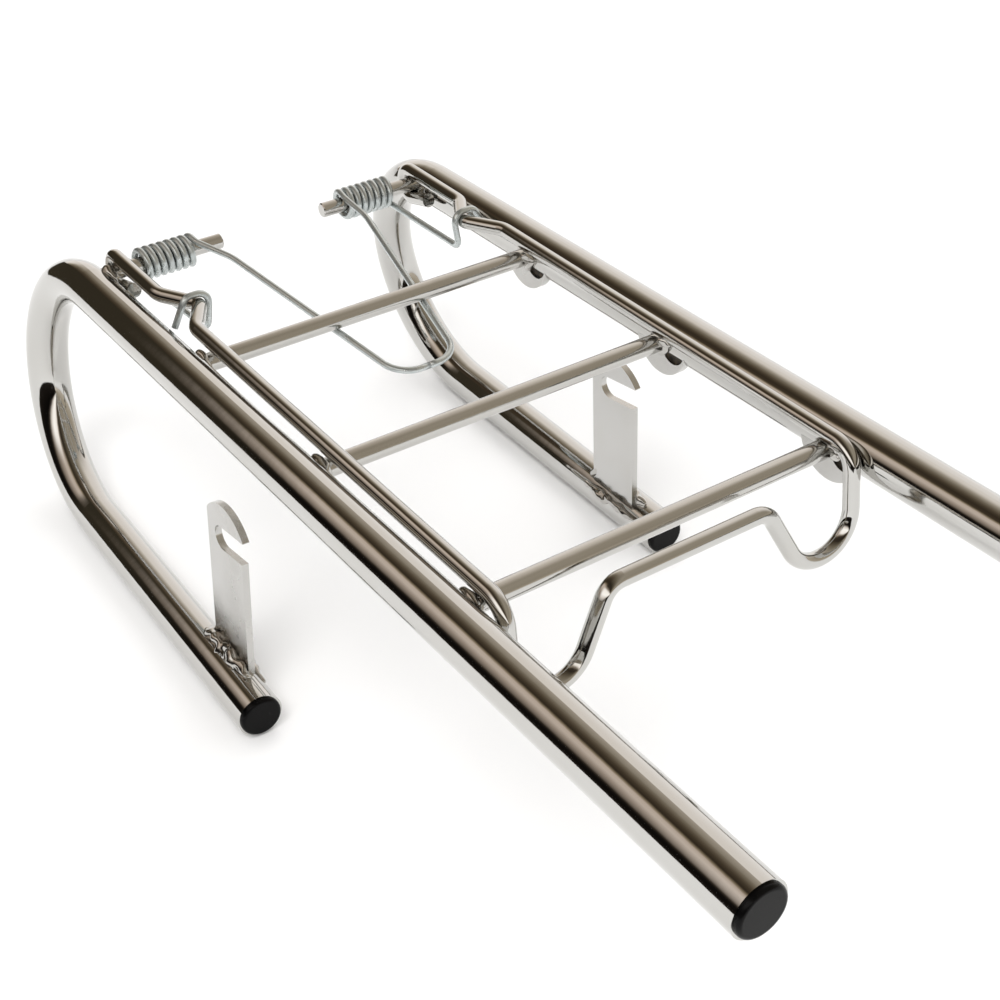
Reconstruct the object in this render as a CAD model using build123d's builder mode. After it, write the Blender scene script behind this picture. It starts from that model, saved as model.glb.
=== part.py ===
"""Chromed motorcycle luggage rack with a sprung clamp bail. Millimetres, +Z up, +Y to the rear."""

import os
from math import asin, atan2, cos, degrees, hypot, radians, sin, sqrt, tan

from build123d import *

os.makedirs("parts", exist_ok=True)

# Side tubes: a straight rail, a half-round bend at the rear and a leg that runs forward under it
tube_d = 20.0
tube_wall = 1.5
rail_spacing = 182.0
overall_length = 510.0
bend_radius = 59.5
bend_angle = 177.6
splay_angle = 7.6
leg_length = 164.8

# Plastic plugs in the four open tube ends
plug_head_t = 2.0
plug_head_inset = 0.9
plug_head_round = 1.5
plug_stem_length = 14.0
plug_fit = 0.1

# Crossbars, each placed by its distance in front of the rear bends
crossbar_d = 8.0
crossbars = (("rear", 89.5), ("middle", 186.5), ("front", 286.0))

# Half-round lugs under the rails, one at each end of each crossbar
lug_r = 15.5
lug_t = 4.0
lug_face_inset = 9.5
lug_rearward = 1.0
lug_hole_d = 14.0
lug_hole_forward = 7.6
lug_hole_drop = 1.2

# Hook plates on the legs, drawn round the centre of the slot's closed end
hook_plate_t = 3.0
hook_plate_inset = 8.3
hook_plate_lean = 2.0
hook_plate_lean_in = 2.8
hook_slot_w = 11.0
hook_slot_rise = 9.5
hook_slot_ahead_of_bend = 130.5
hook_slot_drop = 55.5
hook_back = 11.9
hook_front = 17.8
hook_nose_reach = 19.6
hook_nose_top = 9.2
hook_head_rear_top = 8.9
hook_head_r = 19.6
hook_foot_rise = 3.0

# Hinge pins, welded to the inner sides of the rails
pin_d = 7.0
pin_length = 54.5
pin_chamfer = 0.5
hinge_behind_bend_start = 1.15
hinge_rise = 4.45

# Clamp bail, bent from one rod
bail_d = 6.5
bail_pin_clearance = 0.1
bail_side_gap = 0.75
bail_reach = 302.4
bail_seat_gap = 0.3
bail_front_lean = 7.0
bail_front_bend_r = 10.0
bail_foot_drop = 39.3
bail_foot_r = 15.8
bail_foot_flat = 0.4
bail_foot_slope = 62.0
bail_grip_drop = 9.6
bail_grip_bend_r = 9.0
eye_wrap = 194.0
eye_tail = 14.0
catch_ahead_of_hinge = 61.0
catch_half_length = 18.0
catch_depth = 10.6
catch_tip_r = 6.0
catch_corner_r = 10.0

# Double torsion spring, bent from one wire
wire_d = 3.0
coil_mean_r = 6.25
coil_inner_x = 40.0
coil_length = 26.4
coil_turns = 7.5
wire_gap = 0.3
loop_reach = 129.0
loop_half_width = 14.5
loop_shift = 4.5
loop_knee_ahead = 22.0
loop_knee_r = 30.0
loop_lead = 4.0
loop_lead_r = 12.0
loop_bend_r = 13.0
spring_leg_drop = 7.5
spring_leg_bend_r = 4.0
hook_outer_gap = 0.3
hook_leg_lean = 9.0
hook_tail_out = 6.4
hook_tail_drop = 12.4
hook_tail_bend_r = 4.5

tube_r = tube_d / 2
crossbar_r = crossbar_d / 2
pin_r = pin_d / 2
bail_r = bail_d / 2
wire_r = wire_d / 2
rail_x = rail_spacing / 2
sides = ((-1, "left"), (1, "right"))

# The rails' height puts the lowest point of the legs' open ends at z = 0
splay = radians(splay_angle)
leg_fall = radians(180.0 - bend_angle)
bend_drop = bend_radius * (1 + cos(leg_fall))
leg_end_drop = (bend_drop + leg_length * sin(leg_fall)) * cos(splay)
rail_z = leg_end_drop + tube_r * sqrt(1 - (sin(leg_fall) * cos(splay)) ** 2)
bend_start_y = overall_length / 2 - tube_r - bend_radius
rail_end_y = -overall_length / 2 + plug_head_t
crossbar_y = {place: bend_start_y - distance for place, distance in crossbars}
hinge_y = bend_start_y + hinge_behind_bend_start
hinge_z = rail_z + hinge_rise


def save(piece, name):
    """Label a finished piece and write it as a STEP file of its own."""
    piece.part.label = name
    export_step(piece.part, f"parts/{name}.step")


def plane_about_hinge(pitch):
    """A frame on the hinge axis: x across the rack, y to the rear and z up, pitched down at the front."""
    return Plane(origin=(0, hinge_y, hinge_z), x_dir=(1, 0, 0), z_dir=(0, -sin(pitch), cos(pitch)))


def pitch_to_crossbar(place, offset_at_hinge, offset_at_bar):
    """The pitch of a straight line in side view, from its offsets above the hinge axis and a crossbar."""
    run = hinge_y - crossbar_y[place]
    return asin((offset_at_hinge - offset_at_bar) / hypot(run, hinge_rise)) + atan2(hinge_rise, run)


# Side tubes. The bend lies in a plane that leans outward, so the legs stand wider than the rails.
tube_path = {}
tube_blank = {}
for side, word in sides:
    bend_plane = Plane(
        origin=(side * rail_x, 0, rail_z), x_dir=(0, 1, 0), z_dir=(cos(splay), 0, side * sin(splay))
    )
    with BuildLine(bend_plane) as centre_line:
        Line((rail_end_y, 0), (bend_start_y, 0))
        JernArc((bend_start_y, 0), (1, 0), bend_radius, -bend_angle)
        bend_end = (bend_start_y + bend_radius * sin(leg_fall), -bend_drop)
        Line(
            bend_end,
            (bend_end[0] - leg_length * cos(leg_fall), bend_end[1] - leg_length * sin(leg_fall)),
        )
    tube_path[side] = centre_line.wire()
    rail_end = Plane(origin=tube_path[side] @ 0, z_dir=tube_path[side] % 0)

    with BuildPart() as blank:
        with BuildSketch(rail_end):
            Circle(tube_r)
        sweep(path=tube_path[side])
    tube_blank[side] = blank.part

    with BuildPart() as side_tube:
        with BuildSketch(rail_end):
            Circle(tube_r)
            Circle(tube_r - tube_wall, mode=Mode.SUBTRACT)
        sweep(path=tube_path[side])
    save(side_tube, f"{word}_side_tube")

# End plugs: a rounded head over the tube's end and a stem inside the bore
for side, word in sides:
    path = tube_path[side]
    for place, end in (
        ("rail", Plane(origin=path @ 0, z_dir=(path % 0) * -1)),
        ("leg", Plane(origin=path @ 1, z_dir=path % 1)),
    ):
        with BuildPart() as plug:
            with BuildSketch(end):
                Circle(tube_r - plug_head_inset)
            extrude(amount=plug_head_t)
            outer_face = plug.faces().sort_by(Axis(end.origin, end.z_dir))[-1]
            fillet(outer_face.edges(), plug_head_round)
            with BuildSketch(end):
                Circle(tube_r - tube_wall - plug_fit)
            extrude(amount=-plug_stem_length)
        save(plug, f"{word}_{place}_plug")

# Crossbars, coped to the rails
crossbar_part = {}
for place, y in crossbar_y.items():
    with BuildPart() as crossbar:
        with BuildSketch(Plane.YZ.offset(-rail_x)):
            with Locations((y, rail_z)):
                Circle(crossbar_r)
        extrude(amount=rail_spacing)
        for side, word in sides:
            add(tube_blank[side], mode=Mode.SUBTRACT)
    crossbar_part[place] = crossbar.part
    save(crossbar, f"{place}_crossbar")

# Half-round lugs: the straight edge is coped to the rail, which closes the hole's upper part
for side, word in sides:
    for place, y in crossbar_y.items():
        with BuildPart() as lug:
            with BuildSketch(Plane.YZ.offset(side * (rail_x - lug_face_inset))):
                with Locations((y + lug_rearward, rail_z)):
                    Circle(lug_r)
                with Locations((y + lug_rearward, rail_z + lug_r)):
                    Rectangle(2 * lug_r, 2 * lug_r, mode=Mode.SUBTRACT)
                with Locations((y + lug_rearward - lug_hole_forward, rail_z - lug_hole_drop)):
                    Circle(lug_hole_d / 2, mode=Mode.SUBTRACT)
            extrude(amount=side * lug_t)
            add(tube_blank[side], mode=Mode.SUBTRACT)
            add(crossbar_part[place], mode=Mode.SUBTRACT)
        save(lug, f"{word}_{place}_lug")

# Hook plates: upright plates on the legs, each with a slot that is open to the front
for side, word in sides:
    slot_y = bend_start_y - hook_slot_ahead_of_bend
    leg_drop_here = bend_drop + (hook_slot_ahead_of_bend + bend_radius * sin(leg_fall)) * tan(leg_fall)
    leg_x_here = rail_x + leg_drop_here * sin(splay)
    leg_z_here = rail_z - leg_drop_here * cos(splay)
    slot_z = rail_z - hook_slot_drop
    foot = leg_z_here + hook_foot_rise - slot_z
    lean = radians(hook_plate_lean)
    lean_in = radians(hook_plate_lean_in)
    plate_plane = Plane(
        origin=(side * (leg_x_here - hook_plate_inset), slot_y, slot_z),
        x_dir=(-side * sin(lean_in) * sin(lean), cos(lean), cos(lean_in) * sin(lean)),
        z_dir=(cos(lean_in), 0, side * sin(lean_in)),
    )
    with BuildPart() as hook_plate:
        with BuildSketch(plate_plane) as plate_face:
            with BuildLine():
                nose_end = (-hook_nose_reach, hook_nose_top)
                head_rear = (hook_back, hook_head_rear_top)
                Polyline(
                    nose_end,
                    (-hook_nose_reach, 0),
                    (-hook_front, 0),
                    (-hook_front, foot),
                    (hook_back, foot),
                    head_rear,
                )
                RadiusArc(head_rear, nose_end, -hook_head_r)
            make_face()
            with Locations(Location((0, 0), -hook_slot_rise)):
                Circle(hook_slot_w / 2, mode=Mode.SUBTRACT)
                Rectangle(
                    2 * hook_nose_reach, hook_slot_w, align=(Align.MAX, Align.CENTER), mode=Mode.SUBTRACT
                )
        extrude(amount=hook_plate_t / 2, both=True)
        add(tube_blank[side], mode=Mode.SUBTRACT)
    save(hook_plate, f"{word}_hook_plate")

# Hinge pins
for side, word in sides:
    with BuildPart() as pin:
        with BuildSketch(Plane.YZ.offset(side * (rail_x - tube_r - pin_length))):
            with Locations((hinge_y, hinge_z)):
                Circle(pin_r)
        extrude(amount=side * (pin_length + tube_r))
        free_face = pin.faces().sort_by(Axis.X)[0 if side > 0 else -1]
        chamfer(free_face.edges(), pin_chamfer)
        add(tube_blank[side], mode=Mode.SUBTRACT)
    save(pin, f"{word}_hinge_pin")

# Clamp bail: arms beside the rails, eyes round the pins, catches for the spring and a dipped front
bail_half_width = rail_x - tube_r - bail_side_gap - bail_r
eye_r = pin_r + bail_pin_clearance + bail_r
bail_plane = plane_about_hinge(
    pitch_to_crossbar("front", eye_r, crossbar_r + bail_r + bail_seat_gap)
)
foot_slope = radians(bail_foot_slope)
foot_z = eye_r - bail_foot_drop
grip_z = eye_r - bail_grip_drop
foot_inner_x = bail_half_width - bail_foot_r * (1 + tan(foot_slope / 2)) - bail_foot_flat
grip_x = foot_inner_x - (grip_z - foot_z) / tan(foot_slope)


def bail_front(x, z):
    """A point of the bail's front, which leans forward as it goes down."""
    return (x, -bail_reach + z * tan(radians(bail_front_lean)), z)


half_bail = [
    bail_front(grip_x, grip_z),
    bail_front(foot_inner_x, foot_z),
    bail_front(bail_half_width, foot_z),
    bail_front(bail_half_width, eye_r),
    (bail_half_width, -catch_ahead_of_hinge - catch_half_length, eye_r),
    (bail_half_width - catch_depth, -catch_ahead_of_hinge, eye_r),
    (bail_half_width, -catch_ahead_of_hinge + catch_half_length, eye_r),
    (bail_half_width, 0, eye_r),
]
half_radii = [
    bail_grip_bend_r, bail_foot_r, bail_foot_r, bail_front_bend_r, catch_corner_r, catch_tip_r, catch_corner_r
]
other_half = [(-x, y, z) for x, y, z in reversed(half_bail)]
with BuildLine(bail_plane) as bail_run:
    FilletPolyline(*other_half, *half_bail, radius=[*reversed(half_radii), *half_radii])
with BuildLine() as bail_path:
    add(bail_run.edges())
    for side, word in sides:
        eye_plane = Plane(
            origin=bail_plane.from_local_coords(Vector(side * bail_half_width, 0, 0)),
            x_dir=bail_plane.y_dir,
            z_dir=(1, 0, 0),
        )
        with BuildLine(eye_plane) as eye:
            wrap = JernArc((0, eye_r), (1, 0), eye_r, -eye_wrap)
            wrap_end = radians(90 - eye_wrap)
            tail_start = (eye_r * cos(wrap_end), eye_r * sin(wrap_end))
            Line(
                tail_start,
                (tail_start[0] + eye_tail * sin(wrap_end), tail_start[1] - eye_tail * cos(wrap_end)),
            )
        add(eye.edges())
bail_wire = bail_path.wire()
with BuildPart() as bail:
    with BuildSketch(Plane(origin=bail_wire @ 0, z_dir=bail_wire % 0)):
        Circle(bail_r)
    sweep(path=bail_wire)
save(bail, "clamp_bail")

# Torsion spring: the middle loop bears up under the rear crossbar, and the outer legs hook over the catches
loop_pitch = pitch_to_crossbar("rear", coil_mean_r, -crossbar_r - wire_r - wire_gap)
loop_plane = plane_about_hinge(loop_pitch)
level_turns = coil_turns + degrees(loop_pitch) / 360
catch_x = bail_half_width - catch_depth + catch_tip_r * (
    1 / cos(atan2(catch_depth, catch_half_length)) - 1
)
catch = bail_plane.from_local_coords(Vector(catch_x, -catch_ahead_of_hinge, eye_r))
hook_r = bail_r + wire_gap + wire_r
hook_outer_x = catch.X + hook_r + hook_outer_gap
leg_lean = radians(hook_leg_lean)
leg_x = catch.X - hook_r / cos(leg_lean)
coil_plane = Plane(
    origin=loop_plane.from_local_coords(Vector(coil_inner_x, 0, 0)), x_dir=loop_plane.z_dir, z_dir=(1, 0, 0)
)
with BuildLine() as turns:
    Helix(pitch=coil_length / level_turns, height=coil_length, radius=coil_mean_r, lefthand=True)
coil_wire = coil_plane.from_local_coords(turns.wire())
with BuildLine() as hook:
    FilletPolyline(
        coil_wire @ 1,
        (leg_x + (hook_r + spring_leg_drop) * tan(leg_lean), catch.Y, catch.Z - hook_r - spring_leg_drop),
        (leg_x - hook_r * tan(leg_lean), catch.Y, catch.Z + hook_r),
        (hook_outer_x, catch.Y, catch.Z + hook_r),
        (hook_outer_x + hook_tail_out, catch.Y, catch.Z + hook_r - hook_tail_drop),
        radius=[spring_leg_bend_r, hook_r, hook_tail_bend_r],
    )
with BuildPart() as spring:
    with BuildSketch(Plane(origin=coil_wire @ 0, z_dir=coil_wire % 0)):
        Circle(wire_r)
    sweep(path=coil_wire, is_frenet=True)
    with BuildSketch(Plane(origin=coil_wire @ 1, z_dir=coil_wire % 1)):
        Circle(wire_r)
    sweep(path=hook.wire())
    mirror(about=Plane.YZ)
    knee_share = 1 - loop_knee_ahead / loop_reach
    lead_slope = coil_length / level_turns / (radians(360) * coil_mean_r)
    for side, word in sides:
        knee_x = side * (loop_half_width + (coil_inner_x - loop_half_width) * knee_share) + loop_shift
        with BuildLine(loop_plane) as loop:
            FilletPolyline(
                (side * coil_inner_x, 0, coil_mean_r),
                (side * (coil_inner_x - loop_lead * lead_slope), -loop_lead, coil_mean_r),
                (knee_x, -loop_knee_ahead, coil_mean_r),
                (side * loop_half_width + loop_shift, -loop_reach, coil_mean_r),
                (loop_shift, -loop_reach, coil_mean_r),
                radius=[loop_lead_r, loop_knee_r, loop_bend_r],
            )
        loop_wire = loop.wire()
        with BuildSketch(Plane(origin=loop_wire @ 0, z_dir=loop_wire % 0)):
            Circle(wire_r)
        sweep(path=loop_wire)
save(spring, "torsion_spring")
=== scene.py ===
# Chromed motorcycle luggage rack: looks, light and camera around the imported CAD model.
from math import asin, atan2, cos, hypot, pi, radians, sin, sqrt, tan

import bmesh
import bpy
from mathutils import Matrix, Vector, noise


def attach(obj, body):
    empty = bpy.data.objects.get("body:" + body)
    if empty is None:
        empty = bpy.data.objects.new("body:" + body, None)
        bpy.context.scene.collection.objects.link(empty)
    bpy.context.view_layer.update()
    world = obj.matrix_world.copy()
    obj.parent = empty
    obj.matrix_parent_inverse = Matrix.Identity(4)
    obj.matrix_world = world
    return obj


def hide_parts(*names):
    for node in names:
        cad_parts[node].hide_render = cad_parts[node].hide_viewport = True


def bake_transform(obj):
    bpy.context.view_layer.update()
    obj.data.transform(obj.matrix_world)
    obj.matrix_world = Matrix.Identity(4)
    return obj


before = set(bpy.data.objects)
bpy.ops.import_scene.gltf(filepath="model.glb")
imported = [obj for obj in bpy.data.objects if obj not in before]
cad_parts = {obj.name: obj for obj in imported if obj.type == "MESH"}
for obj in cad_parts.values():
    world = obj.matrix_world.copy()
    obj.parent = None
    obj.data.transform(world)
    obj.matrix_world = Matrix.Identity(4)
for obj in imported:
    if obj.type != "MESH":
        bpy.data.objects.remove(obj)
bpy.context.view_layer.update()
mm = 0.001  # the object's sizes are in millimetres here, and Blender's unit is the metre
print("frame loaded:", len(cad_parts), "nodes")

# driving sizes that several pieces share, as in the CAD: +y is the rear, and angles are in degrees
rack = {
    "railSpacing": 182.0, "length": 510.0, "tubeR": 10.0,
    "bendR": 59.5,  # each rail's half-round rear bend
    "legLength": 164.8, "legTilt": 2.4,  # past the bend, falling a little to the front
    "splay": 7.6,  # the bends lean outwards
}
bars = {"r": 4.0, "aheadOfBend": {"rear": 89.5, "middle": 186.5, "front": 286.0}}
hinge = {"pinR": 3.5, "behindBend": 1.15, "overRail": 4.45}

tilt = radians(rack["legTilt"])
splay = radians(rack["splay"])
railX = rack["railSpacing"] / 2
bendY = rack["length"] / 2 - rack["tubeR"] - rack["bendR"]
bendDrop = rack["bendR"] * (1 + cos(tilt))
legEndY = bendY + rack["bendR"] * sin(tilt) - rack["legLength"] * cos(tilt)
legEndDrop = (bendDrop + rack["legLength"] * sin(tilt)) * cos(splay)
railZ = legEndDrop + rack["tubeR"] * sqrt(1 - (sin(tilt) * cos(splay)) ** 2)
barY = {place: bendY - ahead for place, ahead in bars["aheadOfBend"].items()}
hinge["y"] = bendY + hinge["behindBend"]
hinge["z"] = railZ + hinge["overRail"]


# helpers that several pieces share
def hexColour(code):
    # sRGB hex to a linear colour
    linear = []
    for i in (1, 3, 5):
        c = int(code[i:i + 2], 16) / 255
        linear.append(c / 12.92 if c <= 0.04045 else ((c + 0.055) / 1.055) ** 2.4)
    return (*linear, 1.0)


def node(tree, kind, inputs=None, **settings):
    # an input takes another node's output, a number or a colour
    made = tree.nodes.new(kind)
    for key, value in settings.items():
        setattr(made, key, value)
    for socket, source in (inputs or {}).items():
        if hasattr(source, "node"):
            tree.links.new(source, made.inputs[socket])
        else:
            made.inputs[socket].default_value = source
    return made


def emptyMaterial(name):
    made = bpy.data.materials.new(name)
    made.use_nodes = True
    made.node_tree.nodes.clear()
    return made, made.node_tree


def pieceFrom(mesh, name):
    # puts a finished bmesh in the scene
    data = bpy.data.meshes.new(name)
    mesh.to_mesh(data)
    mesh.free()
    piece = bpy.data.objects.new(name, data)
    bpy.context.scene.collection.objects.link(piece)
    return piece


def skinRings(mesh, rings, closed=False):
    # quads from each ring to the next: round to the first again if closed, and otherwise capped at both ends
    pairs = list(zip(rings, rings[1:]))
    if closed:
        pairs.append((rings[-1], rings[0]))
    for ring, other in pairs:
        for k in range(len(ring)):
            after = (k + 1) % len(ring)
            mesh.faces.new((ring[k], ring[after], other[after], other[k]))
    if not closed:
        mesh.faces.new(list(reversed(rings[0])))
        mesh.faces.new(rings[-1])
    bmesh.ops.recalc_face_normals(mesh, faces=mesh.faces)
    for face in mesh.faces:
        face.smooth = True


# camera: the photograph's place and lens, with its roll in radians
camera = {
    "place": (-311.74, -465.57, 476.46), "look": (0.45617, 0.68305, -0.57040), "roll": -0.027,
    "lens": 60.14, "sensor": 36.0, "clipStart": 10.0,
}
look = Vector(camera["look"]).normalized()
flatRight = look.cross(Vector((0, 0, 1))).normalized()
flatUp = flatRight.cross(look)
right = flatRight * cos(camera["roll"]) + flatUp * sin(camera["roll"])
up = flatUp * cos(camera["roll"]) - flatRight * sin(camera["roll"])
camData = bpy.data.cameras.new("camera")
camData.lens = camera["lens"]
camData.sensor_width = camera["sensor"]
camData.sensor_fit = "HORIZONTAL"
camData.clip_start = camera["clipStart"] * mm
cam = bpy.data.objects.new("camera", camData)
cam.matrix_world = Matrix((
    (right.x, up.x, -look.x, camera["place"][0] * mm),
    (right.y, up.y, -look.y, camera["place"][1] * mm),
    (right.z, up.z, -look.z, camera["place"][2] * mm),
    (0, 0, 0, 1)))
bpy.context.scene.collection.objects.link(cam)
bpy.context.scene.camera = cam
print("camera set")


# decorative chrome over steel: mirror bright, faintly wavy from polishing, with fine wipe marks and a thin
# film that comes and goes; rods, sheet and welds were polished less than the tubes, so they are duller
chrome = {
    "wipeMm": 0.9, "filmMm": 35.0, "filmColour": "#bfbdb8",
    "filmRough": 2.2,  # times the clean roughness, where the film is thickest
}
tubeFinish = {"colour": "#c8c8c6", "rough": 0.045, "wipe": 0.05, "wave": 0.25, "waveMm": 9.0, "depth": 0.2}
rodFinish = {"colour": "#c5c4c1", "rough": 0.09, "wipe": 0.08, "wave": 0.3, "waveMm": 9.0, "depth": 0.2}
sheetFinish = {"colour": "#cbcbca", "rough": 0.16, "wipe": 0.12, "wave": 0.35, "waveMm": 9.0, "depth": 0.2}
weldFinish = {"colour": "#b6b4b0", "rough": 0.09, "wipe": 0.08, "wave": 0.4, "waveMm": 3.6, "depth": 0.5}


def chromePlate(name, finish):
    made, tree = emptyMaterial(name)
    place = node(tree, "ShaderNodeTexCoord").outputs["Object"]
    waves = node(tree, "ShaderNodeTexNoise", {
        "Vector": place, "Scale": 1 / (finish["waveMm"] * mm), "Detail": 2.0})
    wipe = node(tree, "ShaderNodeTexNoise", {
        "Vector": place, "Scale": 1 / (chrome["wipeMm"] * mm), "Detail": 6.0, "Roughness": 0.7})
    film = node(tree, "ShaderNodeTexNoise", {
        "Vector": place, "Scale": 1 / (chrome["filmMm"] * mm), "Detail": 4.0})
    rough = node(tree, "ShaderNodeMapRange", {
        "Value": film.outputs["Fac"], "From Min": 0.35, "From Max": 0.75,
        "To Min": finish["rough"], "To Max": finish["rough"] * chrome["filmRough"]})
    speck = node(tree, "ShaderNodeMapRange", {
        "Value": wipe.outputs["Fac"], "From Min": 0.62, "From Max": 0.8,
        "To Min": 0.0, "To Max": finish["wipe"]})
    roughSum = node(tree, "ShaderNodeMath", {
        0: rough.outputs["Result"], 1: speck.outputs["Result"]}, operation="ADD")
    tint = node(tree, "ShaderNodeMix", {
        "Factor": film.outputs["Fac"],
        "A": hexColour(finish["colour"]), "B": hexColour(chrome["filmColour"])}, data_type="RGBA")
    bump = node(tree, "ShaderNodeBump", {
        "Height": waves.outputs["Fac"], "Strength": finish["wave"], "Distance": finish["depth"] * mm})
    shader = node(tree, "ShaderNodeBsdfPrincipled", {
        "Base Color": tint.outputs["Result"], "Metallic": 1.0,
        "Roughness": roughSum.outputs["Value"], "Normal": bump.outputs["Normal"]})
    node(tree, "ShaderNodeOutputMaterial", {"Surface": shader.outputs["BSDF"]})
    return made


# zinc-plated spring wire: dull blue-grey metal with a fine drawn grain and slightly cloudy plating
zinc = {
    "clear": "#d2d7d6", "cloudy": "#b2b9b9", "cloudMm": 4.0, "roughness": (0.24, 0.36), "metallic": 0.86,
    "grainMm": 0.35, "grain": 0.25, "grainDepth": 0.1,
}


def zincWire():
    made, tree = emptyMaterial("zincPlatedSpringWire")
    place = node(tree, "ShaderNodeTexCoord").outputs["Object"]
    cloud = node(tree, "ShaderNodeTexNoise", {
        "Vector": place, "Scale": 1 / (zinc["cloudMm"] * mm), "Detail": 5.0})
    grain = node(tree, "ShaderNodeTexNoise", {
        "Vector": place, "Scale": 1 / (zinc["grainMm"] * mm), "Detail": 3.0})
    tint = node(tree, "ShaderNodeMix", {
        "Factor": cloud.outputs["Fac"], "A": hexColour(zinc["clear"]), "B": hexColour(zinc["cloudy"])},
        data_type="RGBA")
    rough = node(tree, "ShaderNodeMapRange", {
        "Value": cloud.outputs["Fac"], "From Min": 0.3, "From Max": 0.7,
        "To Min": zinc["roughness"][0], "To Max": zinc["roughness"][1]})
    bump = node(tree, "ShaderNodeBump", {
        "Height": grain.outputs["Fac"], "Strength": zinc["grain"], "Distance": zinc["grainDepth"] * mm})
    shader = node(tree, "ShaderNodeBsdfPrincipled", {
        "Base Color": tint.outputs["Result"], "Metallic": zinc["metallic"],
        "Roughness": rough.outputs["Result"], "Normal": bump.outputs["Normal"]})
    node(tree, "ShaderNodeOutputMaterial", {"Surface": shader.outputs["BSDF"]})
    return made


# polyethylene tube plug: black, moulded, a soft sheen with a fine mould grain and a little dust
plug = {
    "colour": "#050505", "dusty": "#0b0a0a", "dustMm": 3.0, "roughness": (0.16, 0.3),
    "ior": 1.38, "specular": 0.14, "grainMm": 0.6, "grain": 0.15, "grainDepth": 0.1,
}


def plugPlastic():
    made, tree = emptyMaterial("blackPolyethylene")
    place = node(tree, "ShaderNodeTexCoord").outputs["Object"]
    grain = node(tree, "ShaderNodeTexNoise", {
        "Vector": place, "Scale": 1 / (plug["grainMm"] * mm), "Detail": 4.0})
    dust = node(tree, "ShaderNodeTexNoise", {
        "Vector": place, "Scale": 1 / (plug["dustMm"] * mm), "Detail": 6.0, "Roughness": 0.75})
    tint = node(tree, "ShaderNodeMix", {
        "Factor": dust.outputs["Fac"], "A": hexColour(plug["colour"]), "B": hexColour(plug["dusty"])},
        data_type="RGBA")
    rough = node(tree, "ShaderNodeMapRange", {
        "Value": dust.outputs["Fac"], "From Min": 0.3, "From Max": 0.7,
        "To Min": plug["roughness"][0], "To Max": plug["roughness"][1]})
    bump = node(tree, "ShaderNodeBump", {
        "Height": grain.outputs["Fac"], "Strength": plug["grain"], "Distance": plug["grainDepth"] * mm})
    shader = node(tree, "ShaderNodeBsdfPrincipled", {
        "Base Color": tint.outputs["Result"], "Roughness": rough.outputs["Result"],
        "IOR": plug["ior"], "Specular IOR Level": plug["specular"], "Normal": bump.outputs["Normal"]})
    node(tree, "ShaderNodeOutputMaterial", {"Surface": shader.outputs["BSDF"]})
    return made


# painted shade for the lug holes: dark brown and matt, with paler brown patches, standing for the shade deep
# in each hole
pocketShadeLook = {"dark": "#080604", "palerBrown": "#5a4e3c", "patchMm": 2.5, "metallic": 0.6, "roughness": 0.5}


def paintedPocketShade():
    made, tree = emptyMaterial("pocketShadePaint")
    place = node(tree, "ShaderNodeTexCoord").outputs["Object"]
    patches = node(tree, "ShaderNodeTexNoise", {
        "Vector": place, "Scale": 1 / (pocketShadeLook["patchMm"] * mm), "Detail": 5.0, "Roughness": 0.7})
    spread = node(tree, "ShaderNodeMapRange", {
        "Value": patches.outputs["Fac"], "From Min": 0.4, "From Max": 0.7})
    tint = node(tree, "ShaderNodeMix", {
        "Factor": spread.outputs["Result"], "A": hexColour(pocketShadeLook["dark"]), "B": hexColour(pocketShadeLook["palerBrown"])},
        data_type="RGBA")
    shader = node(tree, "ShaderNodeBsdfPrincipled", {
        "Base Color": tint.outputs["Result"], "Metallic": pocketShadeLook["metallic"], "Roughness": pocketShadeLook["roughness"]})
    node(tree, "ShaderNodeOutputMaterial", {"Surface": shader.outputs["BSDF"]})
    return made


tubeChrome = chromePlate("chromePlatedTube", tubeFinish)
rodChrome = chromePlate("chromePlatedRod", rodFinish)
sheetChrome = chromePlate("chromePlatedSheet", sheetFinish)
weldChrome = chromePlate("chromePlatedWeld", weldFinish)
springZinc = zincWire()
plugBlack = plugPlastic()
# the painted shade that fills the lug holes
pocketShadeMaterial = paintedPocketShade()
for name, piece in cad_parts.items():
    if "plug" in name:
        finish = plugBlack
    elif "crossbar" in name or "pin" in name:
        finish = rodChrome
    elif "hook_plate" in name or "lug" in name:
        finish = sheetChrome
    else:
        finish = tubeChrome
    for slot in piece.material_slots:
        slot.material = finish
print("materials assigned")


# the clamp bail as the CAD bends it, because the spring's hooks lie over its catches
bail = {
    "r": 3.25, "sideGap": 0.75, "pinGap": 0.1, "seatGap": 0.3,
    "catchAhead": 61.0, "catchDepth": 10.6, "catchHalf": 18.0, "catchTipR": 6.0,
}
# the torsion spring: two halves that meet under the rear crossbar, each bent from one wire
spring = {
    "wireR": 1.5, "coilR": 6.25, "coilLength": 26.4, "turns": 7.5,
    "innerX": {"left": 41.1, "right": 37.2},  # where each coil starts, from the middle
    "gap": 0.3,  # between the wire and what it bears on
    "loopReach": 129.0, "loopHalf": 14.5, "loopBend": 13.0, "loopShift": 4.5,
    "kneeAhead": 22.0, "kneeR": 30.0,
    "lead": 4.0, "leadR": 12.0,  # the wire leaves the coil along the coil's own heading
    "legDrop": 7.5, "legBend": 4.0, "legLean": 9.0,  # from the coil under the catch and up beside it
    "outerGap": 0.3, "tailOut": 6.4, "tailDrop": 12.4, "tailBend": 4.5,
    "blendEnd": 61.0,  # from the middle: beyond it the wire turns with the bail
    "sides": 12, "turnSteps": 36, "loopStep": 1.2, "hookStep": 0.5,
}


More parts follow.
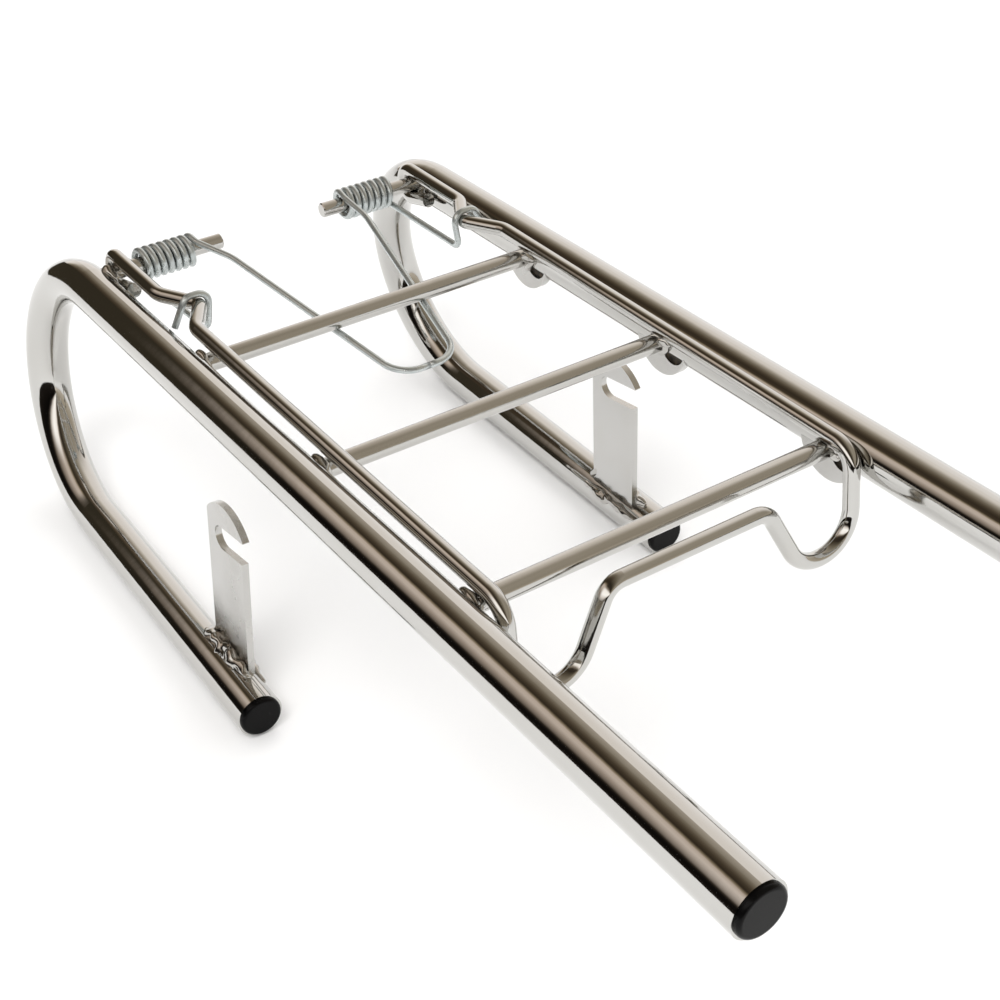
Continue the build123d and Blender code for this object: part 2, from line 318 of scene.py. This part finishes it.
def roundedPath(corners, radii, step):
    # straight runs with a tangent arc at each inner corner, in three pieces or more
    points = [corners[0].copy()]
    for i in range(1, len(corners) - 1):
        corner = corners[i]
        toLast = (corners[i - 1] - corner).normalized()
        toNext = (corners[i + 1] - corner).normalized()
        half = toLast.angle(toNext) / 2
        radius = radii[i - 1]
        cut = radius / tan(half)
        centre = corner + (toLast + toNext).normalized() * (radius / sin(half))
        start = corner + toLast * cut - centre
        sweep = pi - 2 * half
        axis = start.cross(corner + toNext * cut - centre).normalized()
        count = max(3, round(sweep * radius / step))
        for k in range(count + 1):
            points.append(centre + Matrix.Rotation(sweep * k / count, 3, axis) @ start)
    points.append(corners[-1].copy())
    return points


def sweptWire(name, points, radius, sides):
    # a round wire along points in millimetres, carried without twist
    mesh = bmesh.new()
    tangents = []
    for i in range(len(points)):
        before = points[max(i - 1, 0)]
        after = points[min(i + 1, len(points) - 1)]
        tangents.append((after - before).normalized())
    normal = tangents[0].orthogonal().normalized()
    rings = []
    for point, tangent in zip(points, tangents):
        normal = (normal - tangent * normal.dot(tangent)).normalized()
        across = tangent.cross(normal)
        ring = []
        for k in range(sides):
            angle = 2 * pi * k / sides
            ring.append(mesh.verts.new((point + (normal * cos(angle) + across * sin(angle)) * radius) * mm))
        rings.append(ring)
    skinRings(mesh, rings)
    return pieceFrom(mesh, name)


def pitchTo(place, atHinge, atBar):
    # slope of a straight piece that passes the hinge axis and a crossbar at these offsets
    run = hinge["y"] - barY[place]
    rise = hinge["z"] - railZ
    return asin((atHinge - atBar) / hypot(run, rise)) + atan2(rise, run)


def fromHinge(pitch, x, y, z):
    # a point given in a frame on the hinge axis that is pitched down at the front
    back = y * cos(pitch) - z * sin(pitch)
    high = y * sin(pitch) + z * cos(pitch)
    return Vector((x, hinge["y"] + back, hinge["z"] + high))


def springLoop(innerX, shift, leadSlope):
    # from the middle, under the rear crossbar, back to the coil's inner end
    share = 1 - spring["kneeAhead"] / spring["loopReach"]
    kneeX = spring["loopHalf"] + (innerX - spring["loopHalf"]) * share + shift
    corners = (
        (shift, -spring["loopReach"]), (spring["loopHalf"] + shift, -spring["loopReach"]),
        (kneeX, -spring["kneeAhead"]), (innerX - spring["lead"] * leadSlope, -spring["lead"]), (innerX, 0))
    points = [fromHinge(loopPitch, x, y, spring["coilR"]) for x, y in corners]
    return roundedPath(points, [spring["loopBend"], spring["kneeR"], spring["leadR"]], spring["loopStep"])


def springCoil(innerX, turns):
    # from its inner end outwards along the pin
    count = round(turns * spring["turnSteps"])
    coil = []
    for k in range(1, count + 1):
        turn = 2 * pi * turns * k / count - loopPitch
        coil.append(Vector((
            innerX + spring["coilLength"] * k / count,
            hinge["y"] + spring["coilR"] * sin(turn), hinge["z"] + spring["coilR"] * cos(turn))))
    return coil


def springHook(coilEnd):
    # from the coil's outer end to the catch, over the bail there and down its outer side
    grip = bail["r"] + spring["gap"] + spring["wireR"]
    lean = radians(spring["legLean"])
    legX = catch.x - grip / cos(lean)
    legZ = catch.z - grip - spring["legDrop"]
    outer = catch.x + grip + spring["outerGap"]
    corners = [
        coilEnd,
        Vector((legX + (grip + spring["legDrop"]) * tan(lean), catch.y, legZ)),
        Vector((legX - grip * tan(lean), catch.y, catch.z + grip)),
        Vector((outer, catch.y, catch.z + grip)),
        Vector((outer + spring["tailOut"], catch.y, catch.z + grip - spring["tailDrop"]))]
    return roundedPath(corners, [spring["legBend"], grip, spring["tailBend"]], spring["hookStep"])


# the bail rests on the front crossbar, and the spring's loop bears on the rear one from below
eyeR = hinge["pinR"] + bail["pinGap"] + bail["r"]
bailPitch = pitchTo("front", eyeR, bars["r"] + bail["r"] + bail["seatGap"])
loopPitch = pitchTo("rear", spring["coilR"], -bars["r"] - spring["wireR"] - spring["gap"])
bailHalf = railX - rack["tubeR"] - bail["r"] - bail["sideGap"]
catchLean = atan2(bail["catchDepth"], bail["catchHalf"])
catchX = bailHalf - bail["catchDepth"] + bail["catchTipR"] * (1 / cos(catchLean) - 1)
catch = fromHinge(bailPitch, catchX, -bail["catchAhead"], eyeR)
levelTurns = spring["turns"] + loopPitch / (2 * pi)  # from the loop's pitch until level
leadSlope = spring["coilLength"] / levelTurns / (2 * pi * spring["coilR"])
for word, side in (("left", -1), ("right", 1)):
    innerX = spring["innerX"][word]
    loop = springLoop(innerX, side * spring["loopShift"], leadSlope)
    coil = springCoil(innerX, levelTurns)
    hook = springHook(coil[-1])
    points = [Vector((side * p.x, p.y, p.z)) for p in loop + coil + hook[1:]]
    half = sweptWire(f"{word}SpringHalf", points, spring["wireR"], spring["sides"])
    half.data.materials.append(springZinc)
    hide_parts("torsion_spring")
    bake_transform(half)
print("spring made")


# weld beads, plated over with the rest: each swells and dips along its path, the same on every run
bead = {
    "sides": 12,
    "coarse": 0.22, "fine": 0.55, "fineShare": 0.35,  # lumps per millimetre, and the fine ones' height
    "thinnest": 0.45,  # what a dip leaves of the radius
    "endShare": 0.25,  # what an open bead's ends keep of it
    "aside": (0.31, 0.17, 0.94),  # a direction that no bead runs along
    "ringPoints": 28,
}


def weldBead(name, points, radii, lump, seed, closed=False):
    mesh = bmesh.new()
    rings = []
    total = len(points)
    for i, point in enumerate(points):
        before = points[(i - 1) % total] if closed else points[max(i - 1, 0)]
        after = points[(i + 1) % total] if closed else points[min(i + 1, total - 1)]
        along = (after - before).normalized()
        normal = along.cross(Vector(bead["aside"])).normalized()
        across = along.cross(normal)
        radius = radii[0] + (radii[1] - radii[0]) * i / (total - 1)
        fade = 1.0
        if not closed:
            fade = bead["endShare"] + (1 - bead["endShare"]) * sqrt(sin(pi * (i + 0.5) / total))
        ring = []
        for k in range(bead["sides"]):
            angle = 2 * pi * k / bead["sides"]
            way = normal * cos(angle) + across * sin(angle)
            spot = point + way * radius
            coarse = noise.noise(spot * bead["coarse"] + Vector((seed, 0, 0)))
            fine = noise.noise(spot * bead["fine"] + Vector((0, seed, 0)))
            swell = 1 + lump * coarse + bead["fineShare"] * lump * fine
            ring.append(mesh.verts.new((point + way * radius * fade * max(bead["thinnest"], swell)) * mm))
        rings.append(ring)
    skinRings(mesh, rings, closed)
    piece = pieceFrom(mesh, name)
    smooth = piece.modifiers.new("smooth", "SUBSURF")
    smooth.levels = 1
    smooth.render_levels = 2
    piece.data.materials.append(weldChrome)
    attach(piece, "rack")


def ringOnRail(side, y, z, radius, lift):
    # a loop where a rod meets a rail's inner face, lifted off the tube's surface
    ring = []
    for k in range(bead["ringPoints"]):
        angle = 2 * pi * k / bead["ringPoints"]
        rise = z - railZ + radius * sin(angle)
        x = railX - sqrt((rack["tubeR"] + lift) ** 2 - rise * rise)
        ring.append(Vector((side * x, y + radius * cos(angle), railZ + rise)))
    return ring


barWeld = {"r": 1.9, "spread": 0.6, "lift": 0.4, "lump": 0.8, "seed": 3.1, "seedPerMm": 0.013}
# a tail of weld that leaves the rail ahead of a crossbar and runs in towards it, on some joints only
runOff = {
    "bars": {"left": ("front",), "right": ("rear", "middle", "front")},
    "sunk": 0.6, "ahead": 6.6, "above": 1.0,
    "inwards": 0.55, "backwards": 0.5, "upwards": 0.25,  # from each point to the next
    "points": 10, "radii": (2.4, 1.5), "lump": 0.9, "seedShift": 5,
}
pinWeld = {"r": 2.4, "ahead": 1.2, "drop": 1.0, "tuck": 0.2, "lift": 0.7, "lump": 0.5, "seed": 7.7}


def weldBars(word, side):
    for place, y in barY.items():
        name = f"{word}{place.capitalize()}Bar"
        seed = barWeld["seed"] + y * barWeld["seedPerMm"] + side
        ring = ringOnRail(side, y, railZ, bars["r"] + barWeld["spread"], barWeld["lift"])
        weldBead(name + "Weld", ring, (barWeld["r"], barWeld["r"]), barWeld["lump"], seed, closed=True)
        if place not in runOff["bars"][word]:
            continue
        run = []
        for k in range(runOff["points"]):
            x = railX - rack["tubeR"] + runOff["sunk"] - runOff["inwards"] * k
            run.append(Vector((side * x, y - runOff["ahead"] + runOff["backwards"] * k,
                               railZ + runOff["above"] + runOff["upwards"] * k)))
        weldBead(name + "RunOff", run, runOff["radii"], runOff["lump"], seed + runOff["seedShift"])


def weldPin(word, side):
    ring = ringOnRail(side, hinge["y"] - pinWeld["ahead"], hinge["z"] - pinWeld["drop"],
                      hinge["pinR"] - pinWeld["tuck"], pinWeld["lift"])
    radii = (pinWeld["r"], pinWeld["r"])
    weldBead(f"{word}PinWeld", ring, radii, pinWeld["lump"], pinWeld["seed"] + side, closed=True)


# the hook plates as in the CAD, and their welds: a heavy bead outside, a lighter one inside, and a flare that
# climbs the rear edge
plates = {"t": 3.0, "aheadOfBend": 130.5, "inset": 8.3, "drop": 55.5, "leanIn": 2.8, "rear": 11.9}
plateWeld = {
    "faces": (("Outer", 1, 1.0), ("Inner", -1, 0.6)),  # which way it lies from the plate, and its size
    "r": 4.4, "taper": 0.8, "run": 19.0, "ahead": 1.0, "beside": 2.0, "lift": 0.2,
    "points": 28, "lump": 1.0, "seed": 11.3,
}
flare = {
    "points": 11, "sunk": 1.0, "rise": 1.0, "leanRise": 0.9, "forwards": 0.12, "foot": 5.0,
    "radii": (3.2, 0.9), "lump": 0.2, "seed": 17.0,
}


def legTop(side, x, y, lift):
    # a point over the leg tube's upper side, lifted off its surface
    fall = (bendY - y) * tan(tilt) + bendDrop
    beside = railX + fall * sin(splay) - x
    reach = rack["tubeR"] + lift
    return Vector((side * x, y, railZ - fall * cos(splay) + sqrt(reach ** 2 - beside * beside)))


def weldPlate(word, side):
    # the plate leans in, so its middle is found at the slot and carried down to its foot on the leg
    y = bendY - plates["aheadOfBend"]
    leanIn = tan(radians(plates["leanIn"]))
    legDrop = bendDrop + (plates["aheadOfBend"] + rack["bendR"] * sin(tilt)) * tan(tilt)
    slotX = railX + legDrop * sin(splay) - plates["inset"]
    footZ = railZ - ((bendY - y) * tan(tilt) + 2 * rack["bendR"]) * cos(splay) + rack["tubeR"]
    footX = slotX + (railZ - plates["drop"] - footZ) * leanIn
    last = plateWeld["points"] - 1
    for face, shift, size in plateWeld["faces"]:
        x = footX + shift * (plates["t"] / 2 + plateWeld["beside"])
        line = []
        for k in range(plateWeld["points"]):
            along = y - plateWeld["ahead"] + plateWeld["run"] * (1 - 2 * k / last)
            line.append(legTop(side, x, along, plateWeld["lift"]))
        radii = (plateWeld["r"] * size, plateWeld["r"] * plateWeld["taper"] * size)
        weldBead(f"{word}Plate{face}Weld", line, radii, plateWeld["lump"], plateWeld["seed"] + side + shift)
    climb = []
    last = flare["points"] - 1
    for k in range(flare["points"]):
        climb.append(Vector((
            side * (footX - k * flare["leanRise"] * leanIn),
            y + plates["rear"] - flare["forwards"] * k + flare["foot"] * (1 - k / last) ** 2,
            footZ - flare["sunk"] + flare["rise"] * k)))
    weldBead(f"{word}PlateFlare", climb, flare["radii"], flare["lump"], flare["seed"] + side)


for word, side in (("left", -1), ("right", 1)):
    weldBars(word, side)
    weldPin(word, side)
    weldPlate(word, side)
print("welds made")


# painted shade: a thin dark disc in each lug's hole, below the rail that closes it, standing for the shade
# deep in the hole
disc = {"r": 6.95, "ahead": 6.6, "drop": 1.2, "fromX": 82.5, "toX": 84.5, "sides": 36}


def pocketShadeDisc(name, side, y):
    mesh = bmesh.new()
    rims = []
    for x in (disc["fromX"], disc["toX"]):
        rim = []
        for k in range(disc["sides"]):
            angle = 2 * pi * k / disc["sides"]
            rim.append(mesh.verts.new((
                side * x * mm, (y - disc["ahead"] + disc["r"] * cos(angle)) * mm,
                (railZ - disc["drop"] + disc["r"] * sin(angle)) * mm)))
        mesh.faces.new(rim)
        rims.append(rim)
    for k in range(disc["sides"]):
        after = (k + 1) % disc["sides"]
        mesh.faces.new((rims[0][k], rims[0][after], rims[1][after], rims[1][k]))
    bmesh.ops.recalc_face_normals(mesh, faces=mesh.faces)
    piece = pieceFrom(mesh, name)
    piece.data.materials.append(pocketShadeMaterial)
    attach(piece, "rack")


for word, side in (("left", -1), ("right", 1)):
    for place, y in barY.items():
        pocketShadeDisc(f"{word}{place.capitalize()}PocketShade", side, y)
print("lug pockets made")


# the stage is in metres: a white table that lies along the legs, because they fall to the front
studio = {"tableHalf": 6.0, "tableColour": "#fbfaf9", "sky": 0.84}
lamps = {
    "keySoftbox": {"place": (-1.0, -0.9, 2.0), "size": 1.1, "power": 22.0},
    "fillSoftbox": {"place": (1.0, 1.0, 1.8), "size": 1.4, "power": 9.0},
}


def tableTop():
    mesh = bmesh.new()
    half = studio["tableHalf"]
    rise = tan(asin(sin(tilt) * cos(splay)))
    corners = ((-half, -half), (half, -half), (half, half), (-half, half))
    mesh.faces.new([mesh.verts.new((x, y, (y - legEndY * mm) * rise)) for x, y in corners])
    floor = pieceFrom(mesh, "floor")
    made, tree = emptyMaterial("matteWhiteTable")
    paper = node(tree, "ShaderNodeBsdfDiffuse", {"Color": hexColour(studio["tableColour"])})
    node(tree, "ShaderNodeOutputMaterial", {"Surface": paper.outputs["BSDF"]})
    floor.data.materials.append(made)


# the room that the chrome mirrors: a wide shell with a dim wall behind, a pale backdrop to the right and an
# olive front, and a close screen on the left with a dark foot and a lit upper part; each colour stands at its
# angle round the object's length, in degrees from straight up, and the rear's colours fade into the front's
room = {
    "glow": 1.74, "fade": 0.35,  # the front and rear colours mix within this share of the radius
    "columns": 96, "rows": 48, "join": 1e-5,  # join closes the poles and the seam
    "shells": {
        "farRoom": {
            "radius": 5.0, "from": -180, "to": 180,
            "rear": [
                (-95, "#14110e"), (-60, "#8a7d72"), (-34, "#3f3529"), (-18, "#30281f"), (-8, "#40372b"),
                (0, "#544a3d"), (10, "#6f6658"), (22, "#978e82"), (30, "#b8b0a6"), (38, "#cfc8c1"),
                (60, "#d4cec9"), (86, "#dcd8d5"), (100, "#eceae8")],
            "front": [
                (-95, "#0c0a08"), (-30, "#2a241d"), (-18, "#2c261e"), (0, "#5c5446"), (30, "#8c8477"),
                (62, "#867e71"), (84, "#9c9384"), (105, "#c0b8ae")],
        },
        "nearScreen": {
            "radius": 0.87, "from": -135, "to": -26, "dimEnd": (0.66, 0.84, "#2e2920"),
            "rear": [
                (-104, "#3a332d"), (-97, "#1b1713"), (-87, "#0b0908"), (-79, "#120f0d"), (-74, "#2c261f"),
                (-69, "#655b52"), (-58, "#94877c"), (-47, "#b6a99e"), (-37, "#b4a69a"), (-32, "#80735f"),
                (-27, "#40372b")],
            "front": [
                (-104, "#1c1815"), (-78, "#060504"), (-73, "#3a342e"), (-66, "#d8d0c8"), (-58, "#fdfaf6"),
                (-44, "#f4eee8"), (-38, "#8a7f72"), (-32, "#332c24")],
        },
    },
}


def wallRamp(tree, angle, stops):
    ramp = node(tree, "ShaderNodeValToRGB", {"Fac": angle})
    elements = ramp.color_ramp.elements
    while len(elements) < len(stops):
        elements.new(0.5)  # anywhere, as the next lines place them all
    for element, (at, code) in zip(elements, stops):
        element.position = (at + 180) / 360
    for element, (at, code) in zip(elements, stops):
        element.color = hexColour(code)
    return ramp.outputs["Color"]


def wallMaterial(name, shape):
    made, tree = emptyMaterial(name + "Wall")
    radius = shape["radius"]
    spot = node(tree, "ShaderNodeSeparateXYZ", {"Vector": node(tree, "ShaderNodeTexCoord").outputs["Object"]})
    turn = node(tree, "ShaderNodeMath", {0: spot.outputs["X"], 1: spot.outputs["Z"]}, operation="ARCTAN2")
    angle = node(tree, "ShaderNodeMapRange", {
        "Value": turn.outputs["Value"], "From Min": -pi, "From Max": pi})
    frontness = node(tree, "ShaderNodeMapRange", {
        "Value": spot.outputs["Y"], "From Min": radius * room["fade"], "From Max": radius * -room["fade"]},
        interpolation_type="SMOOTHSTEP")
    wall = node(tree, "ShaderNodeMix", {
        "Factor": frontness.outputs["Result"],
        "A": wallRamp(tree, angle.outputs["Result"], shape["rear"]),
        "B": wallRamp(tree, angle.outputs["Result"], shape["front"])}, data_type="RGBA")
    if "dimEnd" in shape:
        start, end, code = shape["dimEnd"]  # the rear end darkens from one share of the radius to the other
        dimness = node(tree, "ShaderNodeMapRange", {
            "Value": spot.outputs["Y"], "From Min": radius * start, "From Max": radius * end},
            interpolation_type="SMOOTHSTEP")
        wall = node(tree, "ShaderNodeMix", {
            "Factor": dimness.outputs["Result"], "A": wall.outputs["Result"], "B": hexColour(code)},
            data_type="RGBA")
    glow = node(tree, "ShaderNodeEmission", {"Color": wall.outputs["Result"], "Strength": room["glow"]})
    node(tree, "ShaderNodeOutputMaterial", {"Surface": glow.outputs["Emission"]})
    return made


def roomShell(name, shape):
    # part of a globe round the rack with its poles in front and behind, which only reflections see
    mesh = bmesh.new()
    radius = shape["radius"]
    grid = []
    for i in range(room["columns"] + 1):
        turn = radians(shape["from"] + (shape["to"] - shape["from"]) * i / room["columns"])
        line = []
        for j in range(room["rows"] + 1):
            along = pi * j / room["rows"]
            line.append(mesh.verts.new((
                radius * sin(along) * sin(turn), -radius * cos(along), radius * sin(along) * cos(turn))))
        grid.append(line)
    for i in range(room["columns"]):
        for j in range(room["rows"]):
            mesh.faces.new((grid[i][j], grid[i][j + 1], grid[i + 1][j + 1], grid[i + 1][j]))
    bmesh.ops.remove_doubles(mesh, verts=mesh.verts, dist=room["join"])
    shell = pieceFrom(mesh, name)
    shell.location = (0, 0, railZ * mm)
    shell.data.materials.append(wallMaterial(name, shape))
    shell.visible_camera = False
    shell.visible_diffuse = False
    shell.visible_shadow = False
    shell.visible_transmission = False


def whiteWorld():
    # white where the camera or a mirrored ray meets it, and a little dimmer as a light on the object
    world = bpy.data.worlds.new("studio")
    bpy.context.scene.world = world
    world.use_nodes = True
    tree = world.node_tree
    tree.nodes.clear()
    path = node(tree, "ShaderNodeLightPath")
    seen = node(tree, "ShaderNodeMath", {
        0: path.outputs["Is Camera Ray"], 1: path.outputs["Is Glossy Ray"]}, operation="MAXIMUM")
    seenThrough = node(tree, "ShaderNodeMath", {
        0: seen.outputs["Value"], 1: path.outputs["Is Transmission Ray"]}, operation="MAXIMUM")
    level = node(tree, "ShaderNodeMapRange", {
        "Value": seenThrough.outputs["Value"], "To Min": studio["sky"], "To Max": 1.0})
    sky = node(tree, "ShaderNodeBackground", {"Color": (1, 1, 1, 1), "Strength": level.outputs["Result"]})
    node(tree, "ShaderNodeOutputWorld", {"Surface": sky.outputs["Background"]})


def softLamp(name, kind):
    # aimed at the middle of the rack, and left out of its reflections
    data = bpy.data.lights.new(name, "AREA")
    data.shape = "SQUARE"
    data.size = kind["size"]
    data.energy = kind["power"]
    lamp = bpy.data.objects.new(name, data)
    lamp.location = kind["place"]
    lamp.rotation_euler = (-Vector(kind["place"])).to_track_quat("-Z", "Y").to_euler()
    bpy.context.scene.collection.objects.link(lamp)
    lamp.visible_glossy = False


tableTop()
for name, shape in room["shells"].items():
    roomShell(name, shape)
whiteWorld()
for name, kind in lamps.items():
    softLamp(name, kind)
bpy.context.scene.view_settings.view_transform = "Standard"
print("stage and light set")
